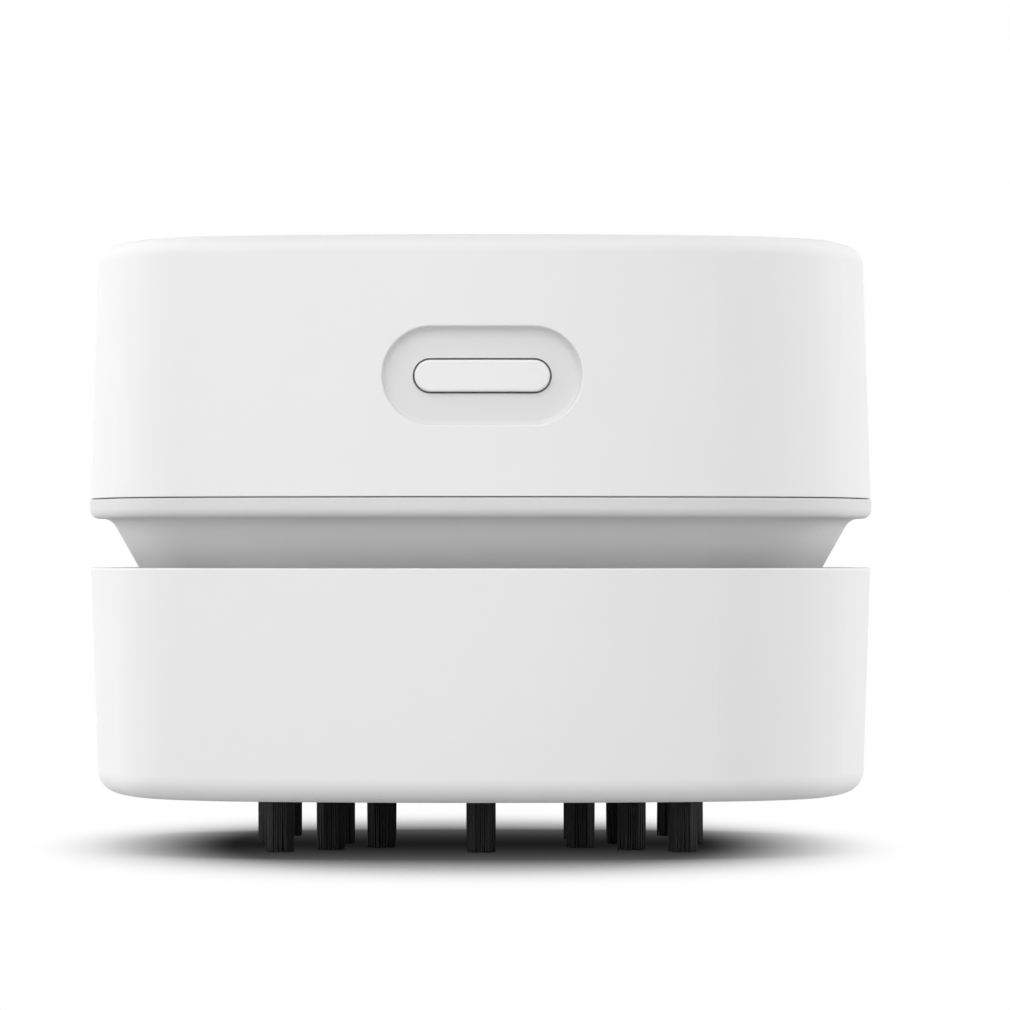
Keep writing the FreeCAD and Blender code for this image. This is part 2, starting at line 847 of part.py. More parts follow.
# ---- Motor and fan -----------------------------------------------------------------------------
def make_motor_can():
    can = tube(motor_radius, can_bore, motor_base, can_top)
    floor = post(0, 0, motor_radius, motor_base, motor_base + motor_wall)
    boss_low = motor_base - motor_boss_height
    boss = post(0, 0, motor_boss_radius, boss_low, motor_base + motor_boss_height)
    tools = [post(0, 0, bush_radius, boss_low, motor_base + motor_boss_height)]
    for x in (-motor_screw_circle, motor_screw_circle):
        tools.append(post(x, 0, motor_screw_radius + thread_fit, motor_base, motor_base + motor_wall))
    return cut(joined([can, floor, boss]), tools)


def make_motor_end_cap():
    cap = post(0, 0, motor_radius, can_top, motor_top)
    plug = post(0, 0, can_bore - shaft_fit, can_top - motor_wall, can_top)
    tools = [post(0, 0, bush_radius, can_top - motor_wall, motor_top)]
    for x in (-terminal_place, terminal_place):
        half_w = terminal_width / 2
        half_t = terminal_thickness / 2
        tools.append(block(x - half_t, x + half_t, -half_w, half_w, can_top - motor_wall, motor_top))
    return cut(joined([cap, plug]), tools)


def arc_block(inner, outer, middle, sweep, low, high):
    """A block between two radii, spanning an angle about Z."""
    start = math.radians(middle - sweep / 2)
    profile = [(inner, low), (outer, low), (outer, high), (inner, high)]
    face = Part.Face(rounded_profile(profile))
    face.rotate(point(0, 0), up, math.degrees(start))
    return face.revolve(point(0, 0), up, sweep)


def make_motor_magnets():
    return Part.makeCompound([arc_block(magnet_bore, can_bore, middle, magnet_angle, magnet_bottom,
                                        magnet_top) for middle in (90, 270)])


def make_motor_terminals():
    half_w = terminal_width / 2
    half_t = terminal_thickness / 2
    return Part.makeCompound([block(x - half_t, x + half_t, -half_w, half_w, carbon_level(),
                                    motor_top + terminal_reach)
                              for x in (-terminal_place, terminal_place)])


def carbon_level():
    return commutator_bottom + (commutator_length - carbon_height) / 2


def make_carbon_brushes():
    """Carbon blocks on spring leaves that press on the commutator from both sides."""
    start = commutator_radius + brush_gap
    leaf_end = terminal_place - terminal_thickness / 2
    brushes = []
    for side in (-1, 1):
        low, high = sorted((side * start, side * (start + carbon_length)))
        carbon = block(low, high, -carbon_width / 2, carbon_width / 2, carbon_level(),
                       carbon_level() + carbon_height)
        low, high = sorted((side * (start + carbon_length), side * leaf_end))
        leaf = block(low, high, -carbon_width / 2, carbon_width / 2, carbon_level(),
                     carbon_level() + terminal_thickness)
        brushes.append(joined([carbon, leaf]))
    return Part.makeCompound(brushes)


def make_lower_bush():
    low = motor_base - motor_boss_height
    return tube(bush_radius, shaft_radius + bearing_fit, low, low + bush_length)


def make_upper_bush():
    return tube(bush_radius, shaft_radius + bearing_fit, motor_top - bush_length, motor_top)


def make_motor_screws():
    screws = []
    for x in (-motor_screw_circle, motor_screw_circle):
        head = Part.makeCone(motor_screw_head, motor_screw_radius, motor_screw_head_height,
                             point(x, 0, bracket_bottom), up)
        shank = post(x, 0, motor_screw_radius, bracket_bottom, bracket_bottom + motor_screw_length)
        drive = cross_drive(x, 0, bracket_bottom, motor_screw_head - motor_screw_radius, 1)
        screws.append(cut(joined([head, shank]), drive))
    return Part.makeCompound(screws)


def make_motor_shaft():
    return post(0, 0, shaft_radius, impeller_bottom, motor_top - shaft_fit)


def make_armature_core():
    pieces = [post(0, 0, core_hub_radius, core_bottom, core_top)]
    for pole in range(pole_count):
        heading = 360 / pole_count * pole
        arm = block(0, armature_radius - pole_shoe_thickness / 2, -pole_arm_width / 2,
                    pole_arm_width / 2, core_bottom, core_top)
        arm.rotate(point(0, 0), up, heading)
        shoe = arc_block(armature_radius - pole_shoe_thickness, armature_radius, heading,
                         pole_shoe_angle, core_bottom, core_top)
        pieces += [arm, shoe]
    return cut(joined(pieces), [post(0, 0, shaft_radius + shaft_fit, core_bottom, core_top)])


def make_armature_windings():
    """One coil round each arm of the core, between its hub and its pole shoe."""
    coils = []
    inner = core_hub_radius + winding_thickness / 2
    outer = armature_radius - pole_shoe_thickness - shaft_fit
    half = pole_arm_width / 2
    for pole in range(pole_count):
        coil = block(inner, outer, -half - winding_thickness, half + winding_thickness,
                     core_bottom - winding_thickness, core_top + winding_thickness)
        arm = block(inner, outer, -half, half, core_bottom, core_top)
        winding_room = post(0, 0, outer, core_bottom - winding_thickness, core_top + winding_thickness)
        coil = coil.cut(arm).common(winding_room)
        coil.rotate(point(0, 0), up, 360 / pole_count * pole)
        coils.append(coil)
    return Part.makeCompound(coils)


def make_commutator():
    return tube(commutator_radius, shaft_radius + shaft_fit, commutator_bottom,
                commutator_bottom + commutator_length)


def fan_blade():
    """One backward-curved blade from the hub side to the disc's rim, standing on the disc."""
    inner = fan_inlet_radius
    chord_start = point(inner, 0, impeller_bottom)
    sweep = math.radians(blade_sweep)
    chord_end = point(impeller_radius * math.cos(sweep), impeller_radius * math.sin(sweep),
                      impeller_bottom)
    chord = chord_end - chord_start
    side = point(chord.y, -chord.x).normalize()
    bulge = chord.Length * math.tan(math.radians(blade_bow)) / 2
    middle = (chord_start + chord_end) * 0.5 + side * bulge
    shift = side * blade_thickness
    outer_arc = Part.Arc(chord_start + shift, middle + shift, chord_end + shift).toShape()
    inner_arc = Part.Arc(chord_start, middle, chord_end).toShape()
    edges = [outer_arc, Part.makeLine(chord_end + shift, chord_end), inner_arc,
             Part.makeLine(chord_start, chord_start + shift)]
    wire = Part.Wire(Part.__sortEdges__(edges))
    blade = Part.Face(wire).extrude(up * (impeller_roof - impeller_bottom))
    return blade.common(post(0, 0, impeller_radius, impeller_bottom, impeller_roof))


def make_impeller():
    pieces = [post(0, 0, impeller_radius, impeller_roof, impeller_top)]
    pieces.append(Part.makeCone(hub_nose_radius, hub_radius, impeller_roof - impeller_bottom,
                                point(0, 0, impeller_bottom), up))
    blade = fan_blade()
    for index in range(blade_count):
        copy = blade.copy()
        copy.rotate(point(0, 0), up, 360 / blade_count * index)
        pieces.append(copy)
    return cut(joined(pieces), [post(0, 0, shaft_radius + shaft_fit, impeller_bottom, impeller_top)])


# ---- Filter ------------------------------------------------------------------------------------
def make_filter_frame():
    ring = tube(filter_radius, filter_radius - filter_rim, filter_bottom, ledge_level)
    inner = filter_radius - filter_rim
    spokes = []
    middle = (inner + filter_radius) / 2
    for index in range(filter_spokes):
        spoke = block(-middle, middle, -filter_spoke_width / 2, filter_spoke_width / 2,
                      filter_bottom, filter_bottom + filter_spoke_height)
        spoke.rotate(point(0, 0), up, 180 / filter_spokes * index)
        spokes.append(spoke)
    return joined([ring] + spokes)


def make_filter_mesh():
    low = filter_bottom + filter_spoke_height
    return post(0, 0, filter_radius - filter_rim - filter_fit, low, low + mesh_thickness)


def make_filter_pad():
    low = filter_bottom + filter_spoke_height + mesh_thickness
    return post(0, 0, filter_radius - filter_rim - pad_clearance, low, ledge_level - pad_top_gap)


# ---- Leads -------------------------------------------------------------------------------------
def solder_leads(routes):
    return Part.makeCompound([lead_tube(route, lead_radius) for route in routes])


def pad_place(column, row):
    """A solder pad on the control board, counted inwards from its front corners."""
    side = 1 if column > 0 else -1
    x = side * (board_width / 2 - board_post_side - (abs(column) - 1) * pad_pitch)
    return x, board_front_edge() + board_post_side + row * pad_row


def make_battery_leads():
    """Two leads from the cell's tabs to the control board, one down the lane beside the motor."""
    end = battery_length / 2 + tab_thickness
    lane = -(motor_radius + battery_motor_room / 2)
    level = battery_z
    near_x, near_y = pad_place(-1, 1)
    far_x, far_y = pad_place(-2, 0)
    rear_lead = [point(battery_x, end, level), point(battery_x, end + lead_standoff, level),
                 point(near_x, near_y, level), point(near_x, near_y, board_top)]
    front_lead = [point(battery_x, -end, level), point(battery_x, -end - lead_standoff, level),
                  point(lane, -end - lead_standoff, level), point(lane, motor_radius, level),
                  point(far_x, far_y, level), point(far_x, far_y, board_top)]
    return solder_leads([rear_lead, front_lead])


def make_motor_leads():
    """From the motor's two terminals, over its end cap and down to the control board."""
    level = motor_top + lead_radius + lead_rest_gap
    routes = []
    for side, (x, y) in ((-1, pad_place(-2, 1)), (1, pad_place(2, 0))):
        start = side * terminal_place
        routes.append([point(start, terminal_width / 2, level),
                       point(start, motor_radius + lead_standoff, level),
                       point(x, y, motor_top - motor_radius / 2), point(x, y, board_top)])
    return solder_leads(routes)


def make_switch_leads():
    """From the back of the switch board, round the motor on the right, to the control board."""
    start_y = board_front() + switch_board_thickness
    routes = []
    for index, row in ((0, 1), (1, 2)):
        level = board_top + switch_lead_rise + index * switch_lead_rise
        lane = motor_radius + battery_motor_room / 2 + index * lead_standoff
        x, y = pad_place(1, row)
        routes.append([point(switch_size, start_y, level),
                       point(switch_size, start_y + 2 * lead_standoff, level),
                       point(lane, -motor_radius - switch_size, level),
                       point(lane, motor_radius + index * lead_standoff, level),
                       point(x, y, level), point(x, y, board_top)])
    return solder_leads(routes)


# ---- Build -------------------------------------------------------------------------------------
nodes = {
    "dust_bin": make_dust_bin,
    "brush_plate": make_brush_plate,
    "brush_tufts": make_brush_tufts,
    "neck_housing": make_neck_housing,
    "housing_seal": make_housing_seal,
    "inner_bracket": make_inner_bracket,
    "housing_screws": make_housing_screws,
    "upper_shell": make_upper_shell,
    "power_button": make_power_button,
    "switch_plunger": make_switch_plunger,
    "power_switch": make_power_switch,
    "switch_board": make_switch_board,
    "control_board": make_control_board,
    "board_screws": make_board_screws,
    "charge_socket": make_charge_socket,
    "charging_chip": make_charging_chip,
    "board_capacitors": make_board_capacitors,
    "charge_led": make_charge_led,
    "light_pipe": make_light_pipe,
    "battery": make_battery,
    "battery_tabs": make_battery_tabs,
    "battery_leads": make_battery_leads,
    "motor_leads": make_motor_leads,
    "switch_leads": make_switch_leads,
    "motor_can": make_motor_can,
    "motor_end_cap": make_motor_end_cap,
    "motor_magnets": make_motor_magnets,
    "motor_terminals": make_motor_terminals,
    "carbon_brushes": make_carbon_brushes,
    "lower_bush": make_lower_bush,
    "upper_bush": make_upper_bush,
    "motor_screws": make_motor_screws,
    "motor_shaft": make_motor_shaft,
    "armature_core": make_armature_core,
    "armature_windings": make_armature_windings,
    "commutator": make_commutator,
    "impeller": make_impeller,
    "filter_frame": make_filter_frame,
    "filter_mesh": make_filter_mesh,
    "filter_pad": make_filter_pad,
}

os.makedirs("parts", exist_ok=True)
for name, make in nodes.items():
    shape = make()
    shape.exportStep(os.path.join("parts", name + ".step"))
    print(name, shape.ShapeType, len(shape.Solids), shape.isValid(), round(shape.Volume, 2))
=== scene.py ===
import math
import random

import bpy
from mathutils import Matrix, Vector, noise


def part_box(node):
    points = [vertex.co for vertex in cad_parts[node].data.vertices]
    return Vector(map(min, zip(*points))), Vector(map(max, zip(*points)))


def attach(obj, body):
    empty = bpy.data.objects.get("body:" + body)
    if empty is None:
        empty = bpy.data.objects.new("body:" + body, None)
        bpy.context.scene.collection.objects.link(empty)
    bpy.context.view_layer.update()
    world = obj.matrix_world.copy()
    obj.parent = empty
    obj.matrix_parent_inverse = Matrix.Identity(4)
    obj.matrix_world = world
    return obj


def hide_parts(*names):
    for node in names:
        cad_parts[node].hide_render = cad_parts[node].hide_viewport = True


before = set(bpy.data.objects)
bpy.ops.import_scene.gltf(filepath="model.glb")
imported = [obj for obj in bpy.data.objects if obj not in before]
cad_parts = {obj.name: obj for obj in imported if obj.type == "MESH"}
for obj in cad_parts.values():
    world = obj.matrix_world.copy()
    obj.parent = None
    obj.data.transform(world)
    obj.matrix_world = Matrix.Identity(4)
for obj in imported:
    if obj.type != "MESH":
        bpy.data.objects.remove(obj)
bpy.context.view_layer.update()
scene = bpy.context.scene
scene.view_settings.view_transform = "Standard"


# ---- Camera ------------------------------------------------------------------------------------
# A long lens level with the neck, square to the front where the power button is and a touch to
# its left.
camera_distance = 0.740
camera_height = 0.0300
camera_aside = 0.0033
picture_width = 1010
pixels_per_metre = 9737.5
sensor_width = 36.0
centre_column = 480.5
horizon_row = 551.9

lens = bpy.data.cameras.new("front_camera")
lens.sensor_width = sensor_width
lens.lens = pixels_per_metre * camera_distance / picture_width * sensor_width
lens.shift_x = (picture_width / 2 - centre_column + camera_aside * pixels_per_metre) / picture_width
lens.shift_y = (horizon_row - picture_width / 2) / picture_width
camera = bpy.data.objects.new("front_camera", lens)
camera.location = (-camera_aside, -camera_distance, camera_height)
camera.rotation_euler = (math.radians(90), 0, 0)
scene.collection.objects.link(camera)
scene.camera = camera


# ---- Studio ------------------------------------------------------------------------------------
# A white sweep of floor and air, broad softboxes in front, above and to the left, and upright
# ones that rake both flanks from behind, screened so that they leave no glare on the top.
lamp_aim = Vector((0, 0, 0.03))
lamp_distance = 1.2
broad_panel = (1.8, 1.2)
side_panel = (0.8, 1.0)
upright_panel = (0.3, 0.5)
air_light = 0.3

floor_half_width = 6
floor_front = -3
floor_rear = 9
shade_search = 0.09
clear_share = 0.93
shade_power = 3.7
shade_easing = 10
deepest_light = 0.012
edge_light = 55
oval_depth_weight = 0.42
oval_offset = 0.0013
oval_start = 0.0235
oval_end = 0.0455


class Wire:
    """A shader socket that takes part in Python expressions."""

    tree = None

    def __init__(self, socket):
        self.socket = socket

    @classmethod
    def node(cls, kind, settings=(), out=0, **inputs):
        """Adds a node with its settings and fills its sockets, called by name or n and number."""
        made = cls.tree.nodes.new(kind)
        for key, value in dict(settings).items():
            setattr(made, key, value)
        for key, value in inputs.items():
            numbered = key[0] == "n" and key[1:].isdigit()
            socket = made.inputs[int(key[1:]) if numbered else key.replace("_", " ")]
            if isinstance(value, Wire):
                cls.tree.links.new(value.socket, socket)
            else:
                socket.default_value = value
        return cls(made.outputs[out])

    @classmethod
    def mix(cls, factor, first, second):
        """A colour between two, by a factor from 0 to 1."""
        return cls.node("ShaderNodeMix", {"data_type": "RGBA"}, out=2, n0=factor, n6=first, n7=second)

    def math(self, operation, other=0.0, swap=False):
        """A Math node on this value and another, which comes first where swap is set."""
        first, second = (other, self) if swap else (self, other)
        return Wire.node("ShaderNodeMath", {"operation": operation}, n0=first, n1=second)

    def vector(self, operation, *others, out=0):
        """A Vector Math node on this vector and the others."""
        rest = {f"n{place}": other for place, other in enumerate(others, 1)}
        return Wire.node("ShaderNodeVectorMath", {"operation": operation}, out=out, n0=self, **rest)

    def length(self):
        return self.vector("LENGTH", out="Value")

    def __add__(self, other):
        return self.math("ADD", other)

    def __sub__(self, other):
        return self.math("SUBTRACT", other)

    def __rsub__(self, other):
        return self.math("SUBTRACT", other, swap=True)

    def __mul__(self, other):
        return self.math("MULTIPLY", other)

    def __truediv__(self, other):
        return self.math("DIVIDE", other)

    def __pow__(self, other):
        return self.math("POWER", other)

    __radd__ = __add__
    __rmul__ = __mul__


def fresh_tree(owner):
    """Gives a material or a world an empty node tree, which the next Wire expressions fill."""
    owner.use_nodes = True
    owner.node_tree.nodes.clear()
    Wire.tree = owner.node_tree
    return owner


def material(name):
    return fresh_tree(bpy.data.materials.new(name))


def surface(shader, kind="ShaderNodeOutputMaterial"):
    """Ends the tree that is being made with its output node."""
    end = Wire.tree.nodes.new(kind)
    Wire.tree.links.new(shader.socket, end.inputs["Surface"])


def backdrop_rays():
    """1 for the rays that show the backdrop: the camera's, those off gloss and through glass."""
    kinds = ("Is Camera Ray", "Is Glossy Ray", "Is Transmission Ray")
    camera_ray, glossy_ray, clear_ray = (Wire.node("ShaderNodeLightPath", out=kind) for kind in kinds)
    return (camera_ray + glossy_ray + clear_ray).math("MINIMUM", 1.0)


def ramp(value, start, end):
    """0 before the start, 1 past the end, and a smooth change between them."""
    return Wire.node("ShaderNodeMapRange", {"interpolation_type": "SMOOTHSTEP"}, Value=value,
                     From_Min=start, From_Max=end)


def softbox(name, azimuth, elevation, panel, power, glare=True):
    """A panel lamp aimed at the object, placed by its bearing from it; 0 is in front, 90 right."""
    light = bpy.data.lights.new(name, "AREA")
    light.shape = "RECTANGLE"
    light.size, light.size_y = panel
    light.energy = power
    turn, rise = math.radians(azimuth), math.radians(elevation)
    level = math.cos(rise)
    heading = Vector((math.sin(turn) * level, -math.cos(turn) * level, math.sin(rise)))
    lamp = bpy.data.objects.new(name, light)
    lamp.location = lamp_aim + heading * lamp_distance
    lamp.rotation_euler = heading.to_track_quat("Z", "Y").to_euler()
    lamp.visible_glossy = glare
    scene.collection.objects.link(lamp)


softbox("key_box", 0, 30, broad_panel, 7.1)
softbox("upper_box", 0, 45, broad_panel, 4.0)
softbox("left_front", -60, 30, side_panel, 2.7)
softbox("left_side", -110, 15, upright_panel, 2.6, glare=False)
softbox("left_rear", -130, 15, upright_panel, 6.2, glare=False)
softbox("right_side", 110, 15, upright_panel, 6.2, glare=False)
softbox("right_rear", 130, 15, upright_panel, 2.2, glare=False)

scene.world = fresh_tree(bpy.data.worlds.new("studio_air"))
air = Wire.node("ShaderNodeMix", {"data_type": "FLOAT"}, n0=backdrop_rays(), n2=air_light, n3=1.0)
surface(Wire.node("ShaderNodeBackground", Color=(1, 1, 1, 1), Strength=air), "ShaderNodeOutputWorld")

floor_mesh = bpy.data.meshes.new("floor")
floor_mesh.from_pydata([(-floor_half_width, floor_front, 0), (floor_half_width, floor_front, 0),
                        (floor_half_width, floor_rear, 0), (-floor_half_width, floor_rear, 0)],
                       [], [(0, 1, 2, 3)])
floor = bpy.data.objects.new("floor", floor_mesh)
scene.collection.objects.link(floor)

# The soft shadow deepens where the object stands over the paper, is lighter to the rear and away
# from the middle, and fades out round an oval.
floor_paper = material("floor_paper")
place = Wire.node("ShaderNodeNewGeometry", out="Position")
rearward = Wire.node("ShaderNodeSeparateXYZ", out="Y", n0=place)
open_air = Wire.node("ShaderNodeAmbientOcclusion", {"samples": 16}, out="AO", Distance=shade_search)
dimmed = (open_air / clear_share) ** (shade_power - rearward * shade_easing)
lit = dimmed.math("MAXIMUM", deepest_light + rearward * rearward * edge_light)
reach = place.vector("MULTIPLY_ADD", (1, oval_depth_weight, 0), (oval_offset, 0, 0)).length()
shade = (1 - lit).math("MAXIMUM", 0.0) * (1 - ramp(reach, oval_start, oval_end))
lit_paper = Wire.node("ShaderNodeEmission", Color=(1, 1, 1, 1), Strength=1.0)
dark_paper = Wire.node("ShaderNodeEmission", Color=(0, 0, 0, 1), Strength=1.0)
white = Wire.node("ShaderNodeMixShader", n0=shade, n1=lit_paper, n2=dark_paper)
paper = Wire.node("ShaderNodeBsdfDiffuse", Color=(0.6, 0.6, 0.6, 1))
surface(Wire.node("ShaderNodeMixShader", n0=backdrop_rays(), n1=paper, n2=white))
floor_mesh.materials.append(floor_paper)


# ---- Dust bin ----------------------------------------------------------------------------------
# The cup that the crumbs fall into: white ABS, injection moulded with drafted sides, a rounded
# bottom edge, a ledge inside for the power unit and a riser round the suction inlet.
flow_mark = 0.018
flow_tones = (0.985, 1.01)
gloss_cloud = 0.004
gloss_spread = 0.06
patch_dullness = 0.08


def object_place():
    """A point's place in metres, fixed to the object."""
    return Wire.node("ShaderNodeTexCoord", out="Object")


def grain(size, detail=2.0, stretch=(1, 1, 1)):
    """Noise from 0 to 1 with grains of about the given size in metres, fixed to the object."""
    where = Wire.node("ShaderNodeMapping", n0=object_place(), Scale=[axis / size for axis in stretch])
    return Wire.node("ShaderNodeTexNoise", out="Fac", Vector=where, Scale=1.0, Detail=detail)


def relief(height, depth):
    """A normal bumped by a height from 0 to 1 that stands for the given depth in metres."""
    return Wire.node("ShaderNodeBump", out="Normal", Height=height, Distance=depth)


def principled(**inputs):
    """The surface shader of the material that is being made."""
    surface(Wire.node("ShaderNodeBsdfPrincipled", **inputs))


def tinted(colour, share):
    """A colour made darker or lighter, with its alpha."""
    return (*(channel * share for channel in colour), 1)


def moulded(name, colour, roughness, erosion=0.0003, depth=0.0000012, patch=None, **constants):
    """Moulded plastic: a faint flow tone, slightly uneven gloss and a fine spark-eroded texture.

    A patch is a function that gives 1 where the tone is darkened as painted shade and the surface made
    a little rougher, and its share of the tone.
    """
    made = material(name)
    dark, light = (tinted(colour, share) for share in flow_tones)
    tone = Wire.mix(grain(flow_mark), dark, light)
    gloss = roughness + (grain(gloss_cloud) - 0.5) * gloss_spread
    if patch:
        # Painted shade: the patch darkens the tone to its share, and adds a little roughness.
        painted_shade_and_dullness, share = patch[0](), patch[1]
        tone = Wire.mix(painted_shade_and_dullness, tone, tinted(colour, share))
        gloss = gloss + painted_shade_and_dullness * patch_dullness
    principled(Base_Color=tone, Roughness=gloss, Normal=relief(grain(erosion, 3.0), depth), **constants)
    return made


def dress(node, finish):
    """Puts a finish on a solid of the frame that keeps its own shape."""
    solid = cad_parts[node]
    if not solid.data.materials:
        solid.data.materials.append(finish)
    for held in solid.material_slots:
        held.material = finish


bin_white = moulded("bin_white", (0.83, 0.83, 0.83), 0.55, Specular_IOR_Level=0.35)
dress("dust_bin", bin_white)


# ---- Brush plate -------------------------------------------------------------------------------
# A flat insert that closes the bin's underside and carries the tufts: the same white ABS, a
# little coarser, staked through the bin's floor.
brush_plate_white = moulded("brush_plate_white", (0.80, 0.80, 0.80), 0.45, erosion=0.00045,
                            depth=0.000003)
dress("brush_plate", brush_plate_white)


# ---- Brush tufts -------------------------------------------------------------------------------
# Twenty bundles of black nylon filament on the arms of an eight-armed star, folded into the
# plate's holes and trimmed level; each filament ends a hair short and leans a little.
arm_count = 8
tuft_circles = (0.0143, 0.0214, 0.0285)
bundle_radius = 0.00143
filament_radius = 0.00011
filament_rows = 6
filament_sides = 6
rim_slack = 1.001
trim_spread = 0.00014
lean_spread = 0.00004
bend_level = 0.55
tip_straight = 0.0006
tip_round = 0.00004
lean_shares = (0.0, 0.25, 0.9, 1.0, 1.0)
thickness_shares = (1.0, 1.0, 1.0, 0.85, 0.35)
tip_shade_height = 0.0045


def joined(parts):
    """Points and faces of several meshes as one."""
    points, faces = [], []
    for part_points, part_faces in parts:
        start = len(points)
        points += part_points
        faces += [[start + index for index in face] for face in part_faces]
    return points, faces


def piece(name, body, finish, form, stands_for, crease=40):
    """A finished mesh that rides on a body and stands for solids of the frame."""
    points, faces = form
    mesh = bpy.data.meshes.new(name)
    mesh.from_pydata(points, [], faces)
    mesh.materials.append(finish)
    mesh.shade_smooth()
    mesh.set_sharp_from_angle(angle=math.radians(crease))
    made = bpy.data.objects.new(name, mesh)
    scene.collection.objects.link(made)
    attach(made, body)
    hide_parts(*stands_for)
    return made


def swept(path, radii, sides, closed=False):
    """A round bar through a path of points: a ring of points at each, carried without twist."""
    path = [Vector(point) for point in path]
    count = len(path)
    radii = radii if hasattr(radii, "__len__") else [radii] * count
    points, faces = [], []
    side = None
    for index, here in enumerate(path):
        before = path[index - 1] if closed or index else here
        after = path[(index + 1) % count] if closed or index < count - 1 else here
        ahead = (after - before).normalized()
        side = ahead.orthogonal() if side is None else side - ahead * side.dot(ahead)
        side.normalize()
        other = ahead.cross(side)
        for corner in range(sides):
            turn = 2 * math.pi * corner / sides
            points.append(here + (side * math.cos(turn) + other * math.sin(turn)) * radii[index])
    for ring in range(count if closed else count - 1):
        low, high = ring * sides, (ring + 1) % count * sides
        for corner in range(sides):
            nearby = (corner + 1) % sides
            faces.append([low + corner, low + nearby, high + nearby, high + corner])
    if not closed:
        faces.append(list(range(sides))[::-1])
        faces.append([(count - 1) * sides + corner for corner in range(sides)])
    return points, faces


def packed(radius, rows):
    """Places in a round hole filled with wires that lie against each other, row beside row."""
    pitch = radius / rows
    for row in range(-rows - 1, rows + 2):
        for column in range(-rows - 1, rows + 1):
            x = (column + 0.5 * (row % 2)) * pitch
            y = row * pitch * math.sqrt(0.75)
            if math.hypot(x, y) < radius * rim_slack:
                yield x, y


def strand():
    """A random value from 0 to 1 for each separate strand of a piece."""
    return Wire.node("ShaderNodeNewGeometry", out="Random Per Island")


def place_along(axis):
    """A point's place along one axis of the object, in metres."""
    return Wire.node("ShaderNodeSeparateXYZ", out=axis, n0=object_place())


# The arms between the square ones reach into the corners, so they hold a third tuft.
tuft_spots = []
for arm in range(arm_count):
    turn = 2 * math.pi * arm / arm_count
    for reach in tuft_circles if arm % 2 else tuft_circles[:2]:
        tuft_spots.append((reach * math.cos(turn), reach * math.sin(turn)))

trim = random.Random(7)
hole_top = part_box("brush_tufts")[1].z
filaments = []
for spot_x, spot_y in tuft_spots:
    for x, y in packed(bundle_radius - filament_radius, filament_rows):
        tip = trim.uniform(0.0, trim_spread)
        lean_x = trim.gauss(0, lean_spread)
        lean_y = trim.gauss(0, lean_spread)
        levels = (hole_top, hole_top * bend_level, tip + tip_straight, tip + tip_round, tip)
        path = [(spot_x + x + lean_x * share, spot_y + y + lean_y * share, level)
                for level, share in zip(levels, lean_shares)]
        radii = [filament_radius * share for share in thickness_shares]
        filaments.append(swept(path, radii, filament_sides))

bristle_black = material("bristle_black")
dye = Wire.mix(strand(), (0.005, 0.005, 0.006, 1), (0.030, 0.030, 0.032, 1))
# Painted shade: each filament darkens to near black over its lowest few millimetres, toward the floor.
painted_tip_shade = Wire.mix(ramp(place_along("Z"), 0.0, tip_shade_height), (0.003, 0.003, 0.003, 1), dye)
principled(Base_Color=painted_tip_shade, Roughness=0.42 + strand() * 0.2)
piece("nylon_tufts", "dust_bin", bristle_black, joined(filaments), ["brush_tufts"])


# ---- Neck housing ------------------------------------------------------------------------------
# The lower half of the power unit: a white moulding with the thin collar under the seam, the
# tapered neck with its air slots at the rear, painted a tenth darker below the collar as painted
# shade and a little rougher there, and the deck that the filter hangs from.
collar_level = 0.0335
collar_shade_edge = 0.0002


def below_collar():
    return 1 - ramp(place_along("Z"), collar_level - collar_shade_edge, collar_level + collar_shade_edge)


# Painted shade: below the collar the neck's tone is a tenth darker, for the shade under the collar's
# overhang; it is also a little rougher there.
housing_white = moulded("housing_white", (0.70, 0.70, 0.70), 0.50, patch=(below_collar, 0.9),
                        Specular_IOR_Level=0.35)
dress("neck_housing", housing_white)


# ---- Housing seal ------------------------------------------------------------------------------
# A soft black ring in the flange's groove that keeps dust inside the bin: moulded silicone,
# pressed into place, with a slightly dusty, matt skin.
seal_rubber = moulded("seal_rubber", (0.045, 0.045, 0.048), 0.72, erosion=0.0006, depth=0.000006)
dress("housing_seal", seal_rubber)


# ---- Filter ------------------------------------------------------------------------------------
# A moulded grey ring with three spokes holds a disc of woven steel mesh and, over it, a disc of
# open-cell foam; the whole filter pulls down out of its socket to be washed.
metal_cloud = 0.004
metal_tones = (0.86, 1.04)
metal_gloss_spread = 0.18

filter_grey = moulded("filter_grey", (0.50, 0.51, 0.52), 0.46, erosion=0.0004, depth=0.000003)
dress("filter_frame", filter_grey)

mesh_low, mesh_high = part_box("filter_mesh")
mesh_radius = mesh_high.x
mesh_level = (mesh_low.z + mesh_high.z) / 2
wire_radius = (mesh_high.z - mesh_low.z) / 4
wire_slack = 0.96
wire_sides = 6
weave_pitch = 0.00105
weave_steps = 4


def woven(radius, level, pitch, wire, steps):
    """Round wires in two directions that pass over and under each other, cut to a disc."""
    count = int(radius / pitch)
    wires = []
    for heading in (0, 1):
        for row in range(-count, count + 1):
            across = row * pitch
            half = math.sqrt(max(radius ** 2 - across ** 2, 0)) - wire
            crossings = int(half / pitch * steps)
            path = []
            for step in range(-crossings, crossings + 1):
                along = step * pitch / steps
                wave = math.cos(math.pi * (along / pitch + row + heading)) * wire
                x, y = (along, across) if heading == 0 else (across, along)
                path.append((x, y, level + wave))
            if len(path) > 2:
                wires.append(swept(path, wire * wire_slack, wire_sides))
    return joined(wires)


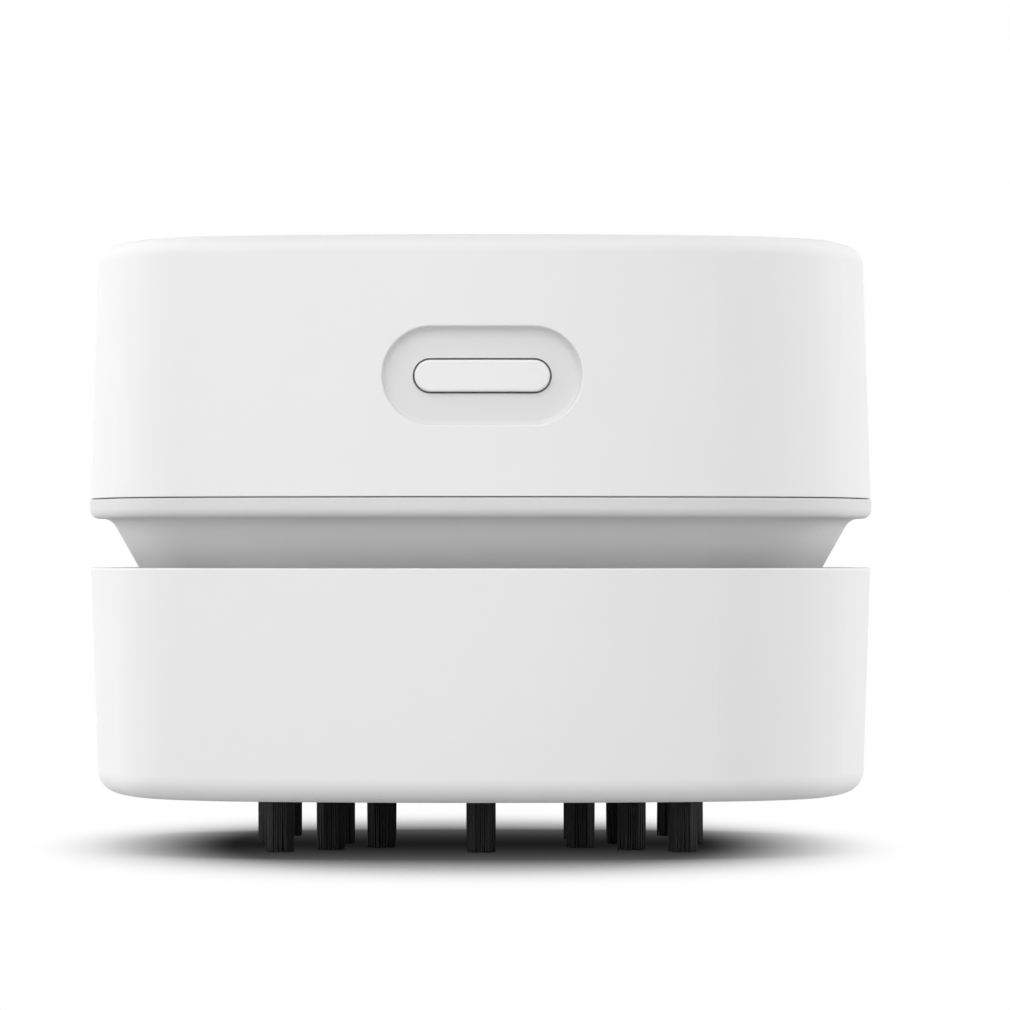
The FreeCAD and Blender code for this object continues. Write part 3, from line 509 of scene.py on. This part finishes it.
def metal(name, colour, roughness, marks=0.0002, stretch=(1, 1, 1), depth=0.0000015):
    """Bare metal: a slightly clouded colour and fine marks that may run one way."""
    made = material(name)
    dark, light = (tinted(colour, share) for share in metal_tones)
    cloud = Wire.mix(grain(metal_cloud), dark, light)
    scratch = grain(marks, 3.0, stretch)
    gloss = roughness + (scratch - 0.5) * metal_gloss_spread
    principled(Base_Color=cloud, Metallic=1.0, Roughness=gloss, Normal=relief(scratch, depth))
    return made


mesh_steel = metal("mesh_steel", (0.60, 0.60, 0.59), 0.32)
piece("woven_mesh", "filter", mesh_steel,
      woven(mesh_radius, mesh_level, weave_pitch, wire_radius, weave_steps), ["filter_mesh"])

pad_low, pad_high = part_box("filter_pad")
pad_radius = pad_high.x
pad_rings = 34
pad_spokes = 180
pad_edge_round = 0.0007
pad_edge_steps = 6
coarse_cells_per_metre = 1900
fine_cells_per_metre = 4300
skin_roughness = 0.00009
skin_depth = 0.00006
foam_cell = 0.00055
foam_relief = 0.00012


def ragged_skin(here):
    """How far the foam's cut cells stand proud of the skin, or lie under it, at a point."""
    coarse = noise.noise(here * coarse_cells_per_metre)
    fine = noise.noise(here * fine_cells_per_metre)
    return skin_roughness * (coarse * 0.5 + fine * 0.35) - skin_depth


def foam_disc(radius, low, high, rings, spokes, edge):
    """A cut disc of foam, with soft edges and the open cells' ragged skin."""
    flat = radius - edge
    profile = [(ring / rings * flat, high, 1) for ring in range(1, rings + 1)]
    for step in range(1, pad_edge_steps + 1):
        turn = math.pi / 2 * step / pad_edge_steps
        profile.append((flat + edge * math.sin(turn), high - edge + edge * math.cos(turn), 1))
    profile += [(x, low + high - z, -1) for x, z, up in reversed(profile)]
    points, faces = [Vector((0, 0, high))], []
    for x, z, up in profile:
        for spoke in range(spokes):
            turn = 2 * math.pi * spoke / spokes
            here = Vector((x * math.cos(turn), x * math.sin(turn), z))
            outward = Vector((math.cos(turn), math.sin(turn), 0)) if x > flat else Vector()
            points.append(here + (outward + Vector((0, 0, up))) * ragged_skin(here))
    starts = range(1, len(points), spokes)
    last = len(points)
    points.append(Vector((0, 0, low)))
    for spoke in range(spokes):
        nearby = (spoke + 1) % spokes
        faces.append([0, starts[0] + spoke, starts[0] + nearby])
        for inner, outer in zip(starts, starts[1:]):
            faces.append([inner + spoke, outer + spoke, outer + nearby, inner + nearby])
        faces.append([last, starts[-1] + nearby, starts[-1] + spoke])
    return points, faces


pad_grey = material("pad_grey")
to_wall = Wire.node("ShaderNodeTexVoronoi", {"feature": "DISTANCE_TO_EDGE"}, out="Distance",
                    Vector=object_place(), Scale=1 / foam_cell)
hollow = Wire.node("ShaderNodeMapRange", Value=to_wall, From_Min=0.02, From_Max=0.22)
# Painted shade: the foam's tone darkens from the cell walls into the middle of each cell hollow.
cell_hollow_shade = Wire.mix(hollow, (0.20, 0.20, 0.21, 1), (0.055, 0.055, 0.06, 1))
principled(Base_Color=cell_hollow_shade, Roughness=0.9, Normal=relief(1 - hollow, foam_relief))
foam = piece("foam_pad", "filter", pad_grey,
             foam_disc(pad_radius, pad_low.z, pad_high.z, pad_rings, pad_spokes, pad_edge_round),
             ["filter_pad"], crease=80)


# ---- Housing screws ----------------------------------------------------------------------------
# Four zinc-plated thread-forming screws in deep wells under the deck, which pull the housing and
# the bracket up against the shell's bosses.
screw_steel = metal("screw_steel", (0.62, 0.63, 0.62), 0.30)
dress("housing_screws", screw_steel)


# ---- Fan ---------------------------------------------------------------------------------------
# A black impeller, moulded in one piece: nine backward-curved blades under a disc, with a hub
# that is pressed on the motor's shaft.
impeller_black = moulded("impeller_black", (0.035, 0.035, 0.037), 0.36, erosion=0.0004, depth=0.000002)
dress("impeller", impeller_black)


# ---- Rotor -------------------------------------------------------------------------------------
# A ground steel shaft with a three-pole core of stamped laminations, three coils of enamelled
# copper wire round its arms, and a moulded commutator with three copper segments.
shaft_steel = metal("shaft_steel", (0.68, 0.68, 0.68), 0.16, marks=0.00015, stretch=(1, 1, 8))
dress("motor_shaft", shaft_steel)

lamination_pitch = 0.0005
lamination_gap = (0.82, 0.95)
lamination_relief = 0.00003
core_steel = material("core_steel")
sheet = (place_along("Z") / lamination_pitch).math("FRACT")
gap = ramp(sheet, *lamination_gap)
sheet_tone = Wire.mix(gap, (0.33, 0.33, 0.35, 1), (0.06, 0.06, 0.07, 1))
principled(Base_Color=sheet_tone, Metallic=1.0, Roughness=0.42 + grain(0.0003) * 0.15,
           Normal=relief(1 - gap, lamination_relief))
dress("armature_core", core_steel)

pole_count = 3
core_low, core_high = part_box("armature_core")
arm_half_width = 0.0015
coil_thickness = core_low.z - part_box("armature_windings")[0].z
coil_wire_radius = 0.00014
coil_wire_sides = 6
coil_spacing = 2.06
coil_corner_points = 4
hub_wall = 0.0030
pole_shoe = 0.0016
coil_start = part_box("motor_shaft")[1].x + hub_wall
coil_end = core_high.x - pole_shoe


def coil(inner, outer, half_width, low, high, thickness, wire):
    """One coil round an arm of the core: round wire in layers, each a turn wider than the last.

    A turn whose corners would pass the coil's outer end is left out.
    """
    turns = []
    pitch = wire * coil_spacing
    layers = int(thickness / pitch)
    for layer in range(layers):
        reach = wire + layer * pitch
        count = int((outer - inner) / pitch) - layer % 2
        for turn in range(count):
            x = inner + wire + (turn + 0.5 * (layer % 2)) * pitch
            loop = []
            for corner_y, corner_z, start in ((1, 1, 0), (-1, 1, 90), (-1, -1, 180), (1, -1, 270)):
                for step in range(coil_corner_points):
                    swing = math.radians(start + 90 * step / (coil_corner_points - 1))
                    y = corner_y * half_width + reach * math.cos(swing)
                    z = (high if corner_z > 0 else low) + reach * math.sin(swing)
                    if math.hypot(x, y) < outer + wire:
                        loop.append((x, y, z))
            if len(loop) == 4 * coil_corner_points:
                turns.append(swept(loop, wire, coil_wire_sides, closed=True))
    return joined(turns)


def turned(form, angle):
    """A form turned about the shaft."""
    spin = Matrix.Rotation(math.radians(angle), 3, "Z")
    points, faces = form
    return [spin @ Vector(point) for point in points], faces


winding_copper = material("winding_copper")
enamel = Wire.mix(strand(), (0.45, 0.17, 0.06, 1), (0.66, 0.28, 0.11, 1))
principled(Base_Color=enamel, Metallic=0.9, Roughness=0.24 + strand() * 0.08, Coat_Weight=0.6)
one_coil = coil(coil_start, coil_end, arm_half_width, core_low.z, core_high.z, coil_thickness,
                coil_wire_radius)
piece("copper_coils", "rotor", winding_copper,
      joined([turned(one_coil, 360 / pole_count * pole) for pole in range(pole_count)]),
      ["armature_windings"])

slit_share = 0.07
slit_phase = 1.5
commutator_copper = material("commutator_copper")
bearing = place_along("Y").math("ARCTAN2", place_along("X"))
segment = (bearing / (2 * math.pi / pole_count) + slit_phase).math("FRACT")
slit = segment.math("LESS_THAN", slit_share)
segment_tone = Wire.mix(slit, (0.62, 0.33, 0.20, 1), (0.02, 0.015, 0.012, 1))
principled(Base_Color=segment_tone, Metallic=1 - slit, Roughness=0.28 + slit * 0.4)
dress("commutator", commutator_copper)


# ---- Motor -------------------------------------------------------------------------------------
# A small brushed motor: a drawn, nickel-plated can with two ferrite magnets, a moulded end cap
# with brass terminals and sprung carbon brushes, and sintered bronze bushes.
motor_steel = metal("motor_steel", (0.66, 0.66, 0.64), 0.24, marks=0.00018, stretch=(1, 1, 12))
dress("motor_can", motor_steel)
cap_black = moulded("cap_black", (0.035, 0.035, 0.036), 0.5, erosion=0.0005, depth=0.000004)
dress("motor_end_cap", cap_black)
magnet_grey = metal("magnet_grey", (0.13, 0.13, 0.14), 0.62, marks=0.0006, depth=0.00001)
dress("motor_magnets", magnet_grey)
terminal_brass = metal("terminal_brass", (0.78, 0.60, 0.28), 0.26)
dress("motor_terminals", terminal_brass)
carbon_black = metal("carbon_black", (0.045, 0.045, 0.05), 0.55, marks=0.0003, depth=0.000006)
dress("carbon_brushes", carbon_black)
bush_bronze = metal("bush_bronze", (0.58, 0.38, 0.19), 0.40, marks=0.00025, depth=0.000006)
dress("lower_bush", bush_bronze)
dress("upper_bush", bush_bronze)
dress("motor_screws", screw_steel)


# ---- Inner bracket -----------------------------------------------------------------------------
# The chassis plate, moulded in grey plastic, that closes the fan chamber and carries the motor,
# the cell's two saddles and the control board's posts.
bracket_grey = moulded("bracket_grey", (0.27, 0.28, 0.29), 0.5, erosion=0.0005, depth=0.000004)
dress("inner_bracket", bracket_grey)


# ---- Cell --------------------------------------------------------------------------------------
# One rechargeable cell across the saddles in blue shrink-wrap that is drawn in over both ends,
# with spot-welded nickel strips.
cell_low, cell_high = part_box("battery")
cell_centre = Vector(((cell_low.x + cell_high.x) / 2, 0, (cell_low.z + cell_high.z) / 2))
cell_radius = (cell_high.x - cell_low.x) / 2
cell_round = 0.0006
cell_round_steps = 5
cell_spokes = 96
crimp_place = 0.0030
crimp_depth = 0.00035
crimp_width = 0.0012
crimp_steps = 8
cap_rise = 0.0006
cap_radius = 0.0030
cap_draft = 0.0001
cap_chamfer_height = 0.00012
cap_chamfer_width = 0.00025
cap_groove_width = 0.0002
cap_groove_depth = 0.0001
wrap_hole = 0.0012
wrap_thickness = 0.00005
wrap_overlap = 0.0016
wrap_relief = 0.00003


def lathed(profile, spokes):
    """A profile of (radius, along) points turned round an axis, with a flat face at both ends."""
    points, faces = [], []
    for radius, along in profile:
        for spoke in range(spokes):
            turn = 2 * math.pi * spoke / spokes
            points.append(Vector((radius * math.cos(turn), along, radius * math.sin(turn))))
    for ring in range(len(profile) - 1):
        low, high = ring * spokes, (ring + 1) * spokes
        for spoke in range(spokes):
            nearby = (spoke + 1) % spokes
            faces.append([low + spoke, high + spoke, high + nearby, low + nearby])
    faces.append(list(range(spokes)))
    faces.append([len(points) - spokes + spoke for spoke in range(spokes)][::-1])
    return points, faces


def quarter(radius, along, bend, start):
    """Points of a quarter round on a lathed profile, from the given heading on."""
    for step in range(cell_round_steps + 1):
        turn = math.radians(start + 90 * step / cell_round_steps)
        yield radius + bend * math.cos(turn), along + bend * math.sin(turn)


foot, head = cell_low.y, cell_high.y - cap_rise
profile = [(cap_radius, foot)]
profile += quarter(cell_radius - cell_round, foot + cell_round, cell_round, -90)
for step in range(crimp_steps + 1):
    share = step / crimp_steps
    dip = crimp_depth * math.sin(math.pi * share) ** 2
    profile.append((cell_radius - dip, head - crimp_place + crimp_width * (share - 0.5)))
profile += quarter(cell_radius - cell_round, head - cell_round, cell_round, 0)
profile.append((cap_radius + wrap_hole, head - wrap_thickness))
profile.append((cap_radius + cap_groove_width, head - cap_groove_depth))
profile.append((cap_radius, head))
profile.append((cap_radius - cap_draft, cell_high.y - cap_chamfer_height))
profile.append((cap_radius - cap_chamfer_width, cell_high.y))
points, faces = lathed(profile, cell_spokes)

cell_wrap = material("cell_wrap")
off_axis = object_place().vector("SUBTRACT", cell_centre).vector("MULTIPLY", (1, 0, 1)).length()
bare = off_axis.math("LESS_THAN", cell_radius - wrap_overlap)
blue = Wire.mix(grain(0.006), (0.035, 0.16, 0.40, 1), (0.045, 0.19, 0.46, 1))
principled(Base_Color=Wire.mix(bare, blue, (0.66, 0.66, 0.64, 1)), Metallic=bare,
           Roughness=0.32 + grain(0.0015) * 0.08, Coat_Weight=0.3 - 0.3 * bare,
           Normal=relief(grain(0.003), wrap_relief))
piece("wrapped_cell", "power_unit", cell_wrap,
      ([point + cell_centre for point in points], faces), ["battery"])
nickel_strip = metal("nickel_strip", (0.66, 0.64, 0.58), 0.34, stretch=(8, 8, 1))
dress("battery_tabs", nickel_strip)


# ---- Leads -------------------------------------------------------------------------------------
# Stranded leads in soft insulation from the cell, the motor and the switch to the control board,
# each soldered at both ends.
lead_red = moulded("lead_red", (0.42, 0.02, 0.02), 0.42, erosion=0.0008, depth=0.000004)
lead_black = moulded("lead_black", (0.02, 0.02, 0.022), 0.42, erosion=0.0008, depth=0.000004)
dress("battery_leads", lead_red)
dress("motor_leads", lead_red)
dress("switch_leads", lead_black)


# ---- Control board -----------------------------------------------------------------------------
# A green fibreglass board with tracks under its solder mask, screwed to the bracket's posts; it
# carries the charging chip, three ceramic capacitors, the charge light and the charging socket.
track_pitch = 0.0026
track_relief = 0.00003
board_green = material("board_green")
track = Wire.node("ShaderNodeTexBrick", {"offset": 0.37, "squash": 0.6, "squash_frequency": 3},
                  out="Fac", Vector=object_place(), Scale=1 / track_pitch, Mortar_Size=0.09,
                  Mortar_Smooth=0.2, Brick_Width=1.7, Row_Height=0.62)
mask_tone = Wire.mix(track, (0.012, 0.10, 0.035, 1), (0.03, 0.17, 0.06, 1))
principled(Base_Color=mask_tone, Roughness=0.30 + grain(0.001) * 0.1, Coat_Weight=0.4,
           Normal=relief(track, track_relief))
dress("control_board", board_green)
dress("switch_board", board_green)
dress("board_screws", screw_steel)

chip_black = moulded("chip_black", (0.025, 0.025, 0.027), 0.55, erosion=0.0004, depth=0.000004)
dress("charging_chip", chip_black)

capacitor_low, capacitor_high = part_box("board_capacitors")
capacitor_middle = (capacitor_low.y + capacitor_high.y) / 2
ceramic_half_length = 0.00045
capacitor_tan = material("capacitor_tan")
off_centre = (place_along("Y") - capacitor_middle).math("ABSOLUTE")
end_cap = off_centre.math("GREATER_THAN", ceramic_half_length)
ceramic = Wire.mix(grain(0.0006), (0.42, 0.29, 0.17, 1), (0.50, 0.36, 0.22, 1))
principled(Base_Color=Wire.mix(end_cap, ceramic, (0.72, 0.72, 0.70, 1)), Metallic=end_cap,
           Roughness=0.45 - 0.15 * end_cap)
dress("board_capacitors", capacitor_tan)

led_lens = moulded("led_lens", (0.78, 0.76, 0.66), 0.3)
dress("charge_led", led_lens)


# ---- Charging socket ---------------------------------------------------------------------------
# A stamped, nickel-plated shell on the board's rear edge, behind its opening in the wall; inside
# it a black tongue with gold-plated contacts.
socket_low, socket_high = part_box("charge_socket")
tongue_half_width = 0.0033
tongue_half_height = 0.00035
tongue_margin = 0.00002
contact_pitch = 0.0005
contact_phase = 20.25
contact_half_row = 0.003
socket_steel = material("socket_steel")
sideways = place_along("X")
off_middle = sideways.math("ABSOLUTE")
off_level = (place_along("Z") - (socket_low.z + socket_high.z) / 2).math("ABSOLUTE")
in_width = off_middle.math("LESS_THAN", tongue_half_width + tongue_margin)
in_height = off_level.math("LESS_THAN", tongue_half_height + tongue_margin)
tongue = in_width * in_height
stripe = (sideways / contact_pitch + contact_phase).math("FRACT").math("LESS_THAN", 0.5)
contact = tongue * stripe * off_middle.math("LESS_THAN", contact_half_row)
steel_tone = Wire.mix(grain(0.002), (0.62, 0.62, 0.61, 1), (0.74, 0.74, 0.72, 1))
black_tone = Wire.mix(tongue, steel_tone, (0.02, 0.02, 0.02, 1))
principled(Base_Color=Wire.mix(contact, black_tone, (0.85, 0.62, 0.25, 1)),
           Metallic=1 - tongue + contact, Roughness=0.28 + tongue * 0.15)
dress("charge_socket", socket_steel)


# ---- Light pipe --------------------------------------------------------------------------------
# A clear acrylic peg pressed into the rear wall beside the socket, which carries the charge
# light out; its end is slightly frosted.
lens_clear = material("lens_clear")
principled(Base_Color=(0.93, 0.94, 0.94, 1), Roughness=0.22 + grain(0.0004) * 0.12,
           Transmission_Weight=0.85, IOR=1.49, Normal=relief(grain(0.0003), 0.000004))
dress("light_pipe", lens_clear)


# ---- Push switch -------------------------------------------------------------------------------
# A tactile push switch on its own small board, which slides down into two ribs behind the front
# wall; its plunger follows the power button.
switch_black = moulded("switch_black", (0.028, 0.028, 0.03), 0.45, erosion=0.0004, depth=0.000003)
dress("power_switch", switch_black)
dress("switch_plunger", switch_black)


# ---- Upper shell -------------------------------------------------------------------------------
# The cap over the motor and the cell: white ABS with drafted sides and a rounded top edge, and a
# pill-shaped dish in front for the power button, painted a little darker as painted shade and a
# little rougher. It meets the collar in a fine shadow line.
button_low, button_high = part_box("power_button")
dish_level = (button_low.z + button_high.z) / 2
dish_half_width = 0.00975
dish_half_height = 0.00483
dish_half_run = dish_half_width - dish_half_height
dish_edge = 0.0001
front_edge = 0.001


def in_dish():
    """1 in the pill-shaped dish in the front wall, by the distance from its long axis."""
    aside = place_along("X").math("ABSOLUTE") - dish_half_run
    beyond = aside.math("MAXIMUM", 0.0)
    rise = place_along("Z") - dish_level
    off_axis = (beyond * beyond + rise * rise) ** 0.5
    inside = 1 - ramp(off_axis, dish_half_height - dish_edge, dish_half_height)
    return inside * (1 - ramp(place_along("Y"), -front_edge, front_edge))


# Painted shade: the dish is painted 12% darker, for the shade inside the recess, and is a little
# rougher.
shell_white = moulded("shell_white", (0.83, 0.83, 0.83), 0.55, patch=(in_dish, 0.88),
                      Specular_IOR_Level=0.35)
dress("upper_shell", shell_white)


# ---- Power button ------------------------------------------------------------------------------
# A pill-shaped key moulded in the same white, polished a little more, that stands proud of the
# dish's floor inside a narrow even gap.
button_white = moulded("button_white", (0.84, 0.84, 0.84), 0.42, Specular_IOR_Level=0.4)
dress("power_button", button_white)
